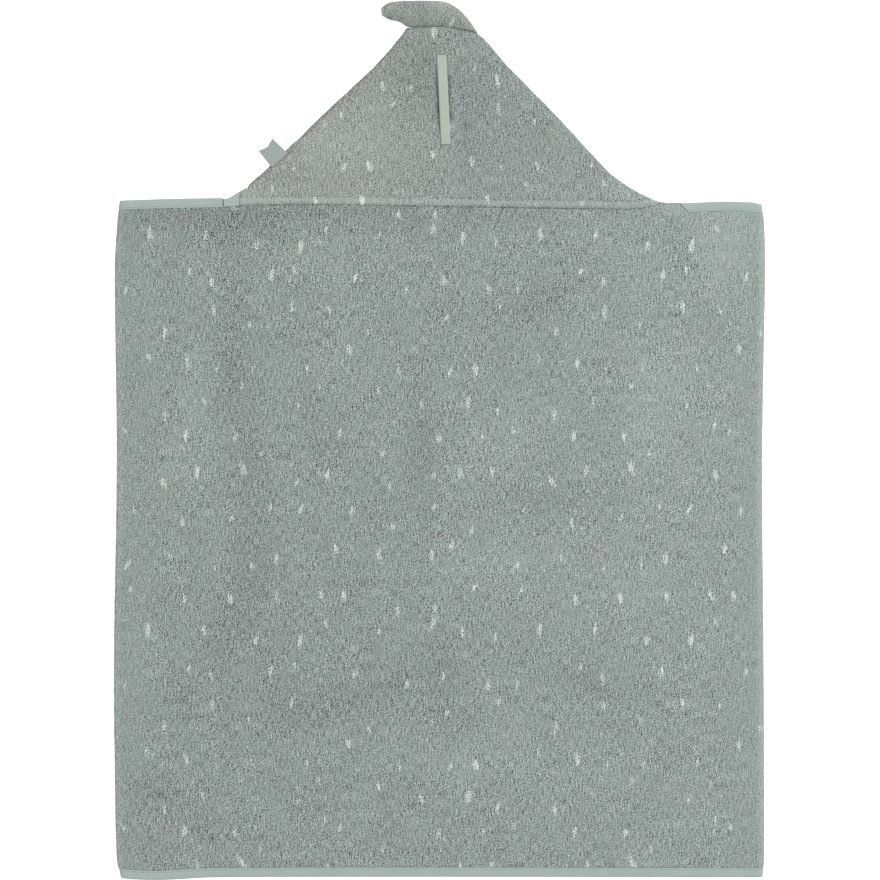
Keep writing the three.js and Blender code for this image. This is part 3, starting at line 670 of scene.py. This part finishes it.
def make_body():
    w, share, inset = body_grid()
    W, S = np.meshgrid(w, share)
    I = np.broadcast_to(inset[:, None], W.shape)
    middle = on_body(W, S, I, 0)
    x, y = middle[..., 0], middle[..., 1]
    run = np.abs(W)
    on_back = run <= FLAT_HALF
    from_top = follow(TOP_EDGE, np.clip(x, -HALF_WIDTH, HALF_WIDTH)) - y
    depth = body_depth(x, y, run, from_top, on_back)
    # between the hood and the slanted start of the tape a corner of the cloth lies bare
    before_tape = TAPE_START + TAPE_SLANT * from_top - x
    corner_x = NECK_SEAM[-1][0]
    bare = smoothstep(x, corner_x, corner_x + 2.5) * smoothstep(before_tape, 0.5, 1.5)
    bare = bare * (on_back & (from_top < 20))
    height = lerp(cloth_height(depth), TERRY / 2 * np.where(from_top < 2.5, 0.75, 1), bare)
    # the pile is uneven where it stands free
    loops = 0.13 * value_noise(W, y, COARSE_LOOPS, 5) + 0.1 * value_noise(W, y, FINE_LOOPS, 11)
    ripples = 0.09 * value_noise(W, y, 17, 23) + 0.2 * value_noise(W, y, 41, 31)
    free = smoothstep(depth, 0, 2) * (1 - 0.85 * (run > FLAT_HALF + ARC))
    height = height + (loops + ripples * (1 - smoothstep(run, 300, 330))) * np.maximum(free, 0.8 * bare)
    outer = on_body(W, S, I, height)
    inner = on_body(W, S, I, -lerp(PRESSED / 2, TERRY / 2, smoothstep(depth, 0, 3)))
    # the bare corner reaches the very edge
    reach = (TAPE + GAP) * smoothstep(x, 221, 228) * smoothstep(before_tape, -0.4, 0.4)
    reach = reach * on_back * (1 - smoothstep(from_top, 1, 9)) * (from_top < 9)
    outer[..., 1] += reach
    inner[..., 1] += reach
    points, faces = shell(outer, inner, every(len(share), 12), every(len(w), 12))
    obj = build_mesh("body_cloth", points, faces, TERRY_CLOTH)
    attribute(obj, "dash", dash_field(BODY_CUT, W, y), FAR_FROM_DASH)
    attribute(obj, "painted_shading", body_painted_shading(x, y, run, from_top, on_back), 0)
    attribute(obj, "warm", on_fold(run) * np.where(x > 0, 0.7, 0.35), 0)
    attribute(obj, "calm", 0.3 * smoothstep(run, 285, 330), 0)
    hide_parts("body")
    return obj


# ---- Bindings ----
# Across the upper half of the folded tape: distance in from the edge, height over the middle.
# A row of stitches lies in the shallow groove.
GROOVE, GROOVE_DEPTH = 8.0, 0.2
TAPE_TOP = TERRY / 2
STITCH_LEVEL = TAPE_TOP - GROOVE_DEPTH / 2
TAPE_PROFILE = [
    (TAPE_WIDTH, TAPE_TOP - 0.45), (TAPE_WIDTH - 0.15, TAPE_TOP - 0.1), (9.4, TAPE_TOP + 0.02),
    (8.8, TAPE_TOP), (GROOVE + 0.35, STITCH_LEVEL), (GROOVE, TAPE_TOP - GROOVE_DEPTH),
    (GROOVE - 0.35, STITCH_LEVEL), (GROOVE - 0.9, TAPE_TOP), (6, TAPE_TOP + 0.03),
    (4, TAPE_TOP + 0.03), (2.4, TAPE_TOP), (1.2, TAPE_TOP - 0.12), (0.5, TAPE_TOP - 0.42),
    (0.12, TAPE_TOP - 0.9), (0, 0),
]
TAPE_UNDERSIDE = [(inset, -out) for inset, out in TAPE_PROFILE[-2::-1]]
TAPE_LINING = [
    (TAPE_WIDTH, PRESSED / 2 + GAP), (TAPE + 0.1, PRESSED / 2 + GAP), (TAPE, 0),
    (TAPE + 0.1, -PRESSED / 2 - GAP), (TAPE_WIDTH, -PRESSED / 2 - GAP),
]


def tape_strip(name, count, locate, material, node, seed):
    """A tape folded over an edge. locate(index, inset, out) gives its points, one row a step."""
    ring = TAPE_PROFILE + TAPE_UNDERSIDE + TAPE_LINING[::-1]
    index = np.arange(count)[:, None]
    inset = np.array([p[0] for p in ring])[None, :]
    out = np.array([p[1] for p in ring])[None, :]
    points = locate(index, inset, out)
    wave = 0.07 * value_noise(index * 3.0, inset, 7, seed)
    points[..., 2] += wave * (np.abs(out) > 1.2) * np.sign(out)
    size = len(ring)
    obj = build_mesh(name, points.reshape(-1, 3), tube_faces(count, size), material)
    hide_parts(node)
    return obj


THREAD_RADIUS, THREAD_SIDES = 0.22, 6
STITCH_PITCH, STITCH_LENGTH = 3.1, 2.3
# Along a stitch: share of the way, share of the thread's radius, how far it rises
STITCH_SHAPE = [(0, 0.35, -0.25), (0.12, 0.9, 0), (0.5, 1, 0.12), (0.88, 0.9, 0), (1, 0.35, -0.25)]


def stitches(name, starts, ends, material):
    """A row of thread stitches as one mesh, each a small bowed capsule from start to end."""
    starts, ends = np.asarray(starts, float), np.asarray(ends, float)
    points, faces = [], []
    for start, end in zip(starts, ends):
        along = end - start
        along = along / np.linalg.norm(along)
        across = np.cross(along, (0, 0, 1.0))
        across /= np.linalg.norm(across)
        up = np.cross(across, along)
        faces += tube_faces(len(STITCH_SHAPE), THREAD_SIDES, len(points))
        for share, girth, rise in STITCH_SHAPE:
            centre = lerp(start, end, share) + up * rise
            for k in range(THREAD_SIDES):
                angle = 2 * math.pi * k / THREAD_SIDES
                spoke = math.cos(angle) * across + math.sin(angle) * up
                points.append(centre + THREAD_RADIUS * girth * spoke)
    obj = build_mesh(name, points, faces, material)
    return obj


def stitch_line(name, place, start, end):
    """Stitches along place(t), which gives drawing points, for t in millimetres."""
    t = np.arange(start, end - STITCH_LENGTH, STITCH_PITCH)
    return stitches(name, place(t), place(t + STITCH_LENGTH), THREAD)


def make_hem_binding():
    w = np.linspace(-PANEL_HALF, PANEL_HALF, 540)

    def locate(index, inset, out):
        return on_body(w[index], 0.0, inset, out)

    tape = tape_strip("hem_tape", len(w), locate, BINDING_TAPE, "binding_hem", 3)

    def row(t):
        return on_body(t, 0.0, GROOVE, STITCH_LEVEL)

    thread = stitch_line("hem_stitches", row, -FLAT_HALF, FLAT_HALF)
    return [tape, thread]


SLANT_EASE = 12  # the slant of a tape's start dies out over this length


def make_top_binding(side, start_x, slant, node, seed):
    first = start_x / fold_centre(side, TOP_EDGE[0][1]) * FLAT_HALF
    w = side * np.linspace(first, PANEL_HALF, 260)

    def locate(index, inset, out):
        points = on_body(w[index], 1.0, -inset, out)
        ease = np.clip(1 - (np.abs(w[index]) - first) / SLANT_EASE, 0, 1)
        points[..., 0] += side * slant * inset * ease
        return points

    tape = tape_strip(node.replace("binding", "tape"), len(w), locate, BINDING_TAPE, node, seed)

    def row(t):
        return on_body(side * t, 1.0, -GROOVE, STITCH_LEVEL)

    thread = stitch_line(node.replace("binding", "stitches"), row, first + 2 + slant * GROOVE, FLAT_HALF)
    return [tape, thread]


def make_front_binding(side, node, seed):
    count = 200
    share = np.linspace(0, 1, count)

    def locate(index, inset, out):
        s = share[index]
        end = lerp(BOUND, -BOUND, s)
        return on_body(side * (PANEL_HALF - inset), s, end, out)

    return [tape_strip(node.replace("binding", "tape"), count, locate, FRONT_TAPE, node, seed)]


# ---- Hood ----
def over_body(x, y):
    return 1 - smoothstep(y - follow(TOP_EDGE, x), 1, NECK_SLOPE)


def hood_floor(x, y, room):
    soft = np.maximum(LAYER_GAP + LOFT + folds_at(HOOD_FOLDS, x, y), GAP)
    level = TERRY + lerp(GAP, soft, smoothstep(room, 0, 16))
    return lerp(level, NECK_LEVEL, over_body(x, y))


def hood_thickness(x, y, room):
    band = lerp(BAND_HEIGHT, BAND_END, smoothstep(x, 185, 235))
    from_neck = y - follow(NECK_SEAM, x)
    from_crest = follow(CREST_SEAM, x) - y
    kept = np.minimum(rounding(np.minimum(room, from_crest), RIM), rounding(from_neck, RIM))
    return lerp(TERRY, band, over_body(x, y)) * kept


def on_hood(u, v):
    first, last = HOOD_SIDES[0], HOOD_SIDES[-1]
    wave = 0.9 * value_noise(26 * v, 0, 1, 61) * smoothstep(v, 0.1, 0.2)
    left_x, right_x = follow(HOOD_SIDES, v, 1) + 0.2 - wave, follow(HOOD_SIDES, v, 3) - 0.4 * wave
    neck_y = follow(NECK_SEAM, lerp(first[1], first[3], u))
    crest_y = follow(CREST_SEAM, lerp(CREST_SEAM[0][0], CREST_SEAM[-1][0], u))
    bow_left = follow(HOOD_SIDES, v, 2) - lerp(first[2], last[2], v)
    bow_right = follow(HOOD_SIDES, v, 4) - lerp(first[4], last[4], v)
    x = lerp(left_x, right_x, u)
    y = lerp(neck_y, crest_y, v) + lerp(bow_left, bow_right, u)
    return x, y, SIDE_LEAN * np.minimum(x - left_x, right_x - x)


def make_hood_back():
    u = unevenly([(0, 0), (0.02, 0.003), (0.98, 0.0056), (1, 0.003)])
    v = unevenly([(0, 0), (0.06, 0.005), (0.97, 0.0105), (1, 0.005)])
    V, U = np.meshgrid(v, u, indexing="ij")
    x, y, room = on_hood(U, V)
    low = hood_floor(x, y, room)
    from_neck = y - follow(NECK_SEAM, x)
    pile = 0.13 * value_noise(x, y, COARSE_LOOPS, 7) + 0.1 * value_noise(x, y, FINE_LOOPS, 13)
    pile = pile + 0.1 * value_noise(x, y, 15, 29)
    # the seam: a rounded ridge, and a groove above it
    ridge = 0.9 * np.exp(-(((from_neck - 4) / 3) ** 2)) - 0.6 * np.exp(-(((from_neck - 8.6) / 1.1) ** 2))
    pile = pile + ridge * (1 - 0.7 * smoothstep(x, 195, 225))
    top = low + hood_thickness(x, y, room) + pile * smoothstep(np.minimum(room, from_neck), 0, 2)
    outer, inner = np.stack([x, y, top], -1), np.stack([x, y, low], -1)
    points, faces = shell(outer, inner, every(len(v), 6), every(len(u), 8))
    obj = build_mesh("hood_back_cloth", points, faces, TERRY_CLOTH)
    attribute(obj, "dash", dash_field(HOOD_CUT, x, y), FAR_FROM_DASH)
    # the seam starts as smooth and light as the tape that runs into it
    start = (1 - smoothstep(x, -209, -192)) * (1 - smoothstep(from_neck, 7, 9.5))
    attribute(obj, "painted_shading", hood_painted_shading(x, y) + 0.4 * start, 0)
    attribute(obj, "warm", hood_warmth(x, y) * (1 - start), 0.6)
    attribute(obj, "calm", 0.1 + 0.1 * blob(x, y, -60, 310, 150, 60) + 0.6 * start, 0.1)
    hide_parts("hood_back")
    return obj


def face_edge(x):
    return FACE_Y + FACE_RISE * (1 - (x / FACE_HALF) ** 2)


def make_hood_front():
    u = unevenly([(0, 0), (0.03, 0.0035), (0.97, 0.02), (1, 0.0035)])
    share = unevenly([(0, 0), (1, 0.012)])
    inset = np.concatenate([[TAPE + GAP, BOUND], np.full(len(share), FULL_CLOTH)])
    share = np.concatenate([[0, 0], share])
    thick = np.where(inset < FULL_CLOTH, PRESSED, TERRY)
    S, U = np.meshgrid(share, u, indexing="ij")
    I, T = np.broadcast_to(inset[:, None], S.shape), np.broadcast_to(thick[:, None], S.shape)
    level = lerp(FACE_Y + I, CREST_SEAM[1][1], S)
    wave = 0.9 * value_noise(level, 0, 9, 63) * smoothstep(level, 262, 275)
    left, right = follow(UNDER_SIDES, level, 1) + 0.3 - wave, follow(UNDER_SIDES, level, 2)
    x = lerp(left, right, U)
    crest_y = follow(CREST_SEAM, lerp(CREST_SEAM[0][0], CREST_SEAM[-1][0], U))
    y = lerp(face_edge(lerp(-FACE_HALF, FACE_HALF, U)) + I, crest_y, S)
    room = np.minimum(SIDE_LEAN * np.minimum(x - left, right - x), crest_y - y)
    bottom = np.where(T == TERRY, 0, (TERRY - PRESSED) / 2)
    at_edge = room < 4  # all that shows past the back layer
    pile = 0.25 * value_noise(x, y, 2.6, 9) * at_edge
    top = bottom + T * rounding(room, RIM) + pile * (T == TERRY)
    outer, inner = np.stack([x, y, top], -1), np.stack([x, y, bottom], -1)
    points, faces = shell(outer, inner, every(len(share), 4), every(len(u), 4))
    obj = build_mesh("hood_front_cloth", points, faces, TERRY_CLOTH)
    attribute(obj, "dash", [], FAR_FROM_DASH)
    # painted shade on the strip of the front layer that shows past the back layer's edge
    attribute(obj, "painted_shading", np.where(at_edge, -0.5, 0), 0)
    attribute(obj, "warm", [], 1)
    attribute(obj, "calm", [], 0.1)
    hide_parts("hood_front")
    return obj


def make_face_binding():
    xs = np.linspace(-FACE_HALF, FACE_HALF, 160)

    def locate(index, inset, out):
        x = xs[index]
        return np.stack(np.broadcast_arrays(x, face_edge(x) + inset, TERRY / 2 + out), -1)

    return [tape_strip("face_tape", len(xs), locate, BINDING_TAPE, "face_binding", 21)]


def make_face_binding_end():
    rows, columns = 18, 20
    v, u = np.meshgrid(np.linspace(0, 1, rows), np.linspace(0, 1, columns), indexing="ij")
    x = lerp(TAPE_END[0][0], TAPE_END[-1][0], u)
    y = lerp(follow(NECK_SEAM, x), follow(TAPE_END, x), v)
    low = hood_floor(x, y, 0)
    width, height = 17, 14  # about those of the tape's end
    edge = np.minimum(np.minimum(u, 1 - u) * width, np.minimum(v, 1 - v) * height)
    top = low + TAPE * lerp(0.6, 1, smoothstep(edge, 0, 1.2))
    outer, inner = np.stack([x, y, top], -1), np.stack([x, y, low], -1)
    points, faces = shell(outer, inner, every(rows, 3), every(columns, 3))
    obj = build_mesh("face_tape_end", points, faces, BINDING_TAPE)
    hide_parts("face_binding_end")
    return obj


# ---- Crest ----
# Round its section: share of the way from the low edge to the high one, share of its height
CREST_SECTION = [
    (0.12, 0), (0.3, 0), (0.5, 0), (0.7, 0), (0.88, 0), (0.97, 0.07), (1, 0.22), (0.985, 0.45),
    (0.92, 0.68), (0.8, 0.86), (0.63, 0.97), (0.45, 1), (0.27, 0.94), (0.12, 0.79), (0.03, 0.57),
    (0, 0.32), (0.02, 0.1),
]
CREST_FOLDS = [(-19, 3.5, 0.7), (-30, 3, 0.5), (3, 4, 0.5)]  # across it: x, width, depth


def smooth_ring(ring, times):
    """A closed smooth curve through the points of `ring`, with `times` as many points."""
    k = np.arange(len(ring) * times) / times
    i = k.astype(int)
    t = (k - i)[:, None]
    p0, p1, p2, p3 = (ring[(i + d) % len(ring)] for d in (-1, 0, 1, 2))
    bend = (2 * p0 - 5 * p1 + 4 * p2 - p3) * t ** 2 + (3 * p1 - p0 - 3 * p2 + p3) * t ** 3
    return 0.5 * (2 * p1 + (p2 - p0) * t + bend)


def make_crest():
    stops = unevenly([(0, 0), (0.08, 0.01), (0.92, 0.014), (1, 0.008)])
    ring = smooth_ring(np.array(CREST_SECTION), 4)
    ring[:, 1] = np.maximum(ring[:, 1], 0)
    size = len(ring)
    A, K = np.meshgrid(stops, np.arange(size), indexing="ij")
    across, up = ring[K, 0], ring[K, 1]
    at = [follow(CREST, A, c) for c in range(1, 6)]
    x, y = lerp(at[0], at[2], across), lerp(at[1], at[3], across)
    pile = 0.3 * value_noise(x * 1.3, y + up * 9, 2.6, 17) + 0.25 * value_noise(x, y + up * 9, 9, 19)
    folds = sum(-deep * np.exp(-(((x - at_x) / width) ** 2)) for at_x, width, deep in CREST_FOLDS)
    z = up * at[4] + (pile + folds) * smoothstep(up, 0.3, 0.8)
    points = np.stack([x, y, z], -1).reshape(-1, 3)
    obj = build_mesh("crest_padding", points, tube_faces(len(stops), size), TERRY_CLOTH)
    attribute(obj, "dash", dash_field(CREST_CUT, points[:, 0], points[:, 1]), FAR_FROM_DASH)
    attribute(obj, "painted_shading", crest_painted_shading(x, y), 0)
    attribute(obj, "warm", [], 0.8)
    attribute(obj, "calm", 0.3 + 0.35 * (1 - smoothstep(y - follow(CREST_SEAM, x), 0, 10)), 0.3)
    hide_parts("crest")
    return obj


# ---- Hanging loop and label ----
LOOP_TOP, LOOP_BOTTOM, LOOP_WIDTH, LOOP_BOW = (1.6, 398.7), (6.1, 305.4), 10.1, 1.8
LOOP_LENGTH = 94.0  # from end to end, about
LOOP_CLEAR = GAP + 0.1  # between its ends and the hood
LOOP_STITCH_PITCH, LOOP_STITCH_LENGTH = 1.9, 1.5


def hood_surface(x, y):
    """Height of the hood's upper side, away from its edges."""
    return hood_floor(x, y, WELL_INSIDE) + hood_thickness(x, y, WELL_INSIDE)


def make_loop():
    rows, columns = 60, 11
    v, a = np.meshgrid(np.linspace(0, 1, rows), np.linspace(-0.5, 0.5, columns), indexing="ij")
    middle_x, y = lerp(LOOP_BOTTOM[0], LOOP_TOP[0], v), lerp(LOOP_BOTTOM[1], LOOP_TOP[1], v)
    x = middle_x + a * LOOP_WIDTH
    low = hood_surface(middle_x, y) + LOOP_CLEAR + LOOP_BOW * smoothstep(np.minimum(v, 1 - v), 0.06, 0.4)
    edge = np.minimum((0.5 - np.abs(a)) * LOOP_WIDTH, np.minimum(v, 1 - v) * LOOP_LENGTH)
    top = low + TAPE * lerp(0.55, 1, smoothstep(edge, 0, 0.9)) + 0.05 * value_noise(x, y, 6, 41)
    outer, inner = np.stack([x, y, top], -1), np.stack([x, y, low], -1)
    points, faces = shell(outer, inner, every(rows, 3), every(columns, 2))
    obj = build_mesh("loop_tape", points, faces, LOOP_TAPE)
    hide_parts("hanging_loop")
    # a row of stitches across each end, the lower one starting on the cloth beside the loop
    starts, ends = [], []
    last = 3.4
    for (end_x, end_y), first, inwards in ((LOOP_BOTTOM, -8.5, 1.1), (LOOP_TOP, -4.6, -1.1)):
        on_tape = float(hood_surface(end_x, end_y)) + LOOP_CLEAR + TAPE
        for step in np.arange(first, last, LOOP_STITCH_PITCH):
            z = on_tape if step > -LOOP_WIDTH / 2 else on_tape - TAPE
            starts.append((end_x + step, end_y + inwards, z))
            ends.append((end_x + step + LOOP_STITCH_LENGTH, end_y + inwards, z))
    thread = stitches("loop_stitches", starts, ends, LOOP_THREAD)
    return obj, thread


LABEL_ROOT, LABEL_TURN, LABEL_LENGTH, LABEL_NOTCH = (-166, 289.5), 132.5, 22.5, 3.6
LABEL_ROOT_WIDTH, LABEL_TIP_WIDTH, LABEL_LIFT = 22.4, 19.2, 1.2
RIBBON_THICK = 0.9 * TAPE


def make_label():
    rows, columns = 26, 25
    v, a = np.meshgrid(np.linspace(0, 1, rows), np.linspace(-0.5, 0.5, columns), indexing="ij")
    angle = math.radians(LABEL_TURN)
    along = v * (LABEL_LENGTH - LABEL_NOTCH * (1 - np.abs(2 * a)))
    across = a * lerp(LABEL_ROOT_WIDTH, LABEL_TIP_WIDTH, v)
    x = LABEL_ROOT[0] + along * math.cos(angle) - across * math.sin(angle)
    y = LABEL_ROOT[1] + along * math.sin(angle) + across * math.cos(angle)
    low = TERRY + GAP + LABEL_LIFT * v * v
    top = low + RIBBON_THICK + 0.12 * np.sin(a * 5 + 0.6) * v
    outer, inner = np.stack([x, y, top], -1), np.stack([x, y, low], -1)
    points, faces = shell(outer, inner, every(rows, 3), every(columns, 3))
    obj = build_mesh("label_ribbon", points, faces, RIBBON)
    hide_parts("side_label")
    return obj


# ---- The whole cape ----
body = make_body()
tapes = make_hem_binding()
tapes += make_top_binding(-1, LEFT_TAPE_START, 0, "binding_top_left", 7)
tapes += make_top_binding(1, TAPE_START, TAPE_SLANT, "binding_top_right", 9)
tapes += make_front_binding(-1, "binding_front_left", 11)
tapes += make_front_binding(1, "binding_front_right", 13)
hood = make_hood_back()
under = make_hood_front()
face_tapes = make_face_binding() + [make_face_binding_end()]
crest = make_crest()
loop, loop_thread = make_loop()
label = make_label()


# ---- Floor, light and camera ----
def floor_material():
    n = Nodes("floor")
    grain = n.noise(n.coordinates(), 3, detail=2)
    n.shader.inputs["Specular IOR Level"].default_value = 0.0
    colour = n.mix(grain, (0.93, 0.93, 0.93, 1), (0.95, 0.95, 0.95, 1))
    n.feed(n.shader.inputs["Base Color"], colour)
    n.shader.inputs["Roughness"].default_value = 1.0
    n.shader.inputs["Emission Color"].default_value = (1, 1, 1, 1)
    n.shader.inputs["Emission Strength"].default_value = 0.5
    return n.material


FLOOR_HALF, FLOOR_LEVEL = 8.0, -0.0002  # metres; just below the cape, so that no faces coincide


def make_floor():
    corners = [(x, y, FLOOR_LEVEL) for y in (-FLOOR_HALF, FLOOR_HALF) for x in (-FLOOR_HALF, FLOOR_HALF)]
    mesh = bpy.data.meshes.new("floor")
    mesh.from_pydata(corners, [], grid_faces(2, 2))
    obj = bpy.data.objects.new("floor", mesh)
    bpy.context.scene.collection.objects.link(obj)
    mesh.materials.append(floor_material())


def area_light(name, place, size, power):
    """A square soft light that shines at the origin."""
    data = bpy.data.lights.new(name, "AREA")
    data.shape = "SQUARE"
    data.size = size
    data.energy = power
    obj = bpy.data.objects.new(name, data)
    bpy.context.scene.collection.objects.link(obj)
    obj.location = place
    obj.rotation_euler = (-Vector(place)).to_track_quat("-Z", "Y").to_euler()


make_floor()
area_light("key", (3.4, 2.8, 4.6), 2.4, 338)
area_light("fill", (-3.2, -2.2, 4.6), 3.0, 124)

world = bpy.data.worlds.new("studio")
world.use_nodes = True
world.node_tree.nodes["Background"].inputs["Color"].default_value = (1, 1, 1, 1)
world.node_tree.nodes["Background"].inputs["Strength"].default_value = 0.47
bpy.context.scene.world = world
bpy.context.scene.view_settings.view_transform = "Standard"

SEEN_WIDTH = 0.9133  # metres across the picture, at the cloth
SEEN_MIDDLE = -0.5  # of the drawing, in millimetres up from its zero
CLOTH_LEVEL = 0.0035  # metres; the height that DISTANCE starts from
DISTANCE = 3.0
SENSOR = 36.0
camera_data = bpy.data.cameras.new("camera")
camera_data.sensor_width = SENSOR
camera_data.lens = SENSOR * DISTANCE / SEEN_WIDTH
camera = bpy.data.objects.new("camera", camera_data)
bpy.context.scene.collection.objects.link(camera)
camera.location = (-ORIGIN[0] / 1000, (SEEN_MIDDLE - ORIGIN[1]) / 1000, DISTANCE + CLOTH_LEVEL)
camera.rotation_euler = (0, 0, 0)
bpy.context.scene.camera = camera
